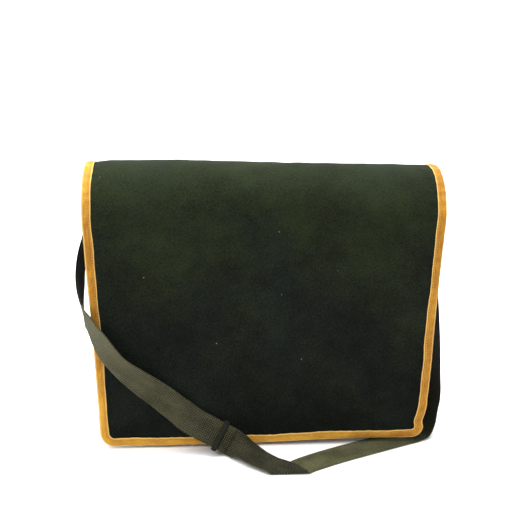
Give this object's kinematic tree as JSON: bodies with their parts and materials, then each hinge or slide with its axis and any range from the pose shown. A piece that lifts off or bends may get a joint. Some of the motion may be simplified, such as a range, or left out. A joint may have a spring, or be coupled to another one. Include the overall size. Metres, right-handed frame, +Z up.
{
  "type": "cash deposit bag",
  "caption": "Flapped canvas satchel for carrying cash deposits, with taped flap edges, an inside pocket and a webbing shoulder strap.",
  "frame": {"origin": "centre of the base panel's underside, between the two gussets", "axes": "+X along the width, to the right as the flap faces the viewer; -Y is the flap side; +Z up"},
  "size_m": [0.4313, 0.1897, 0.3228],
  "materials": {
    "canvas": "heavy dark olive canvas, matt, plain weave",
    "lining": "thin matt lining cloth",
    "tape": "mustard gold woven edge tape, slight sheen",
    "webbing": "grey-olive ribbed webbing, matt",
    "keeper_plastic": "moulded near-black plastic",
    "rivet_metal": "blackened brass",
    "board": "stiff fibre board, matt brown",
    "fastener": "hook-and-loop pile, black"
  },
  "bodies": {
    "bag": {"base_panel": "canvas", "base_board": "board", "front_panel": "canvas", "back_panel": "canvas", "left_gusset": "canvas", "right_gusset": "canvas", "front_piping": "canvas", "rear_piping": "canvas", "mouth_binding": "tape", "inner_pocket": "lining", "pocket_binding": "tape", "loop_pad_left": "fastener", "loop_pad_right": "fastener", "strap_tab_left": "webbing", "strap_tab_right": "webbing", "anchor_rivet_left": "rivet_metal", "anchor_rivet_right": "rivet_metal"},
    "flap_top": {"flap_top_canvas": "canvas", "flap_top_lining": "lining", "flap_top_binding_left": "tape", "flap_top_binding_right": "tape"},
    "flap_front": {"flap_front_canvas": "canvas", "flap_front_lining": "lining", "flap_front_binding": "tape", "hook_pad_left": "fastener", "hook_pad_right": "fastener"},
    "strap": {"strap_left": "webbing", "strap_right": "webbing"},
    "keeper": {"strap_keeper": "keeper_plastic"}
  },
  "joints": [
    {"name": "flap_hinge", "type": "hinge", "parent": "bag", "child": "flap_top", "pos_m": [0, 0.06146, 0.27502], "axis": [-1, 0, 0], "range_deg": [0, 70]},
    {"name": "flap_bend", "type": "hinge", "parent": "flap_top", "child": "flap_front", "pos_m": [0, -0.03189, 0.30689], "axis": [-1, 0, 0], "range_deg": [0, 21]},
    {"name": "strap_swing", "type": "hinge", "parent": "bag", "child": "strap", "pos_m": [0, 0.004, 0.248], "axis": [-1, 0, 0], "range_deg": [0, 294]},
    {"name": "keeper_slide", "type": "slide", "parent": "strap", "child": "keeper", "axis": [-0.8777, 0.1899, 0.4399], "range_m": [0, 0.014]}
  ],
  "couplings": [
    {"joint": "flap_bend", "follows": "flap_hinge", "ratio": 0.3},
    {"joint": "strap_swing", "follows": "flap_hinge", "ratio": 4.2}
  ]
}
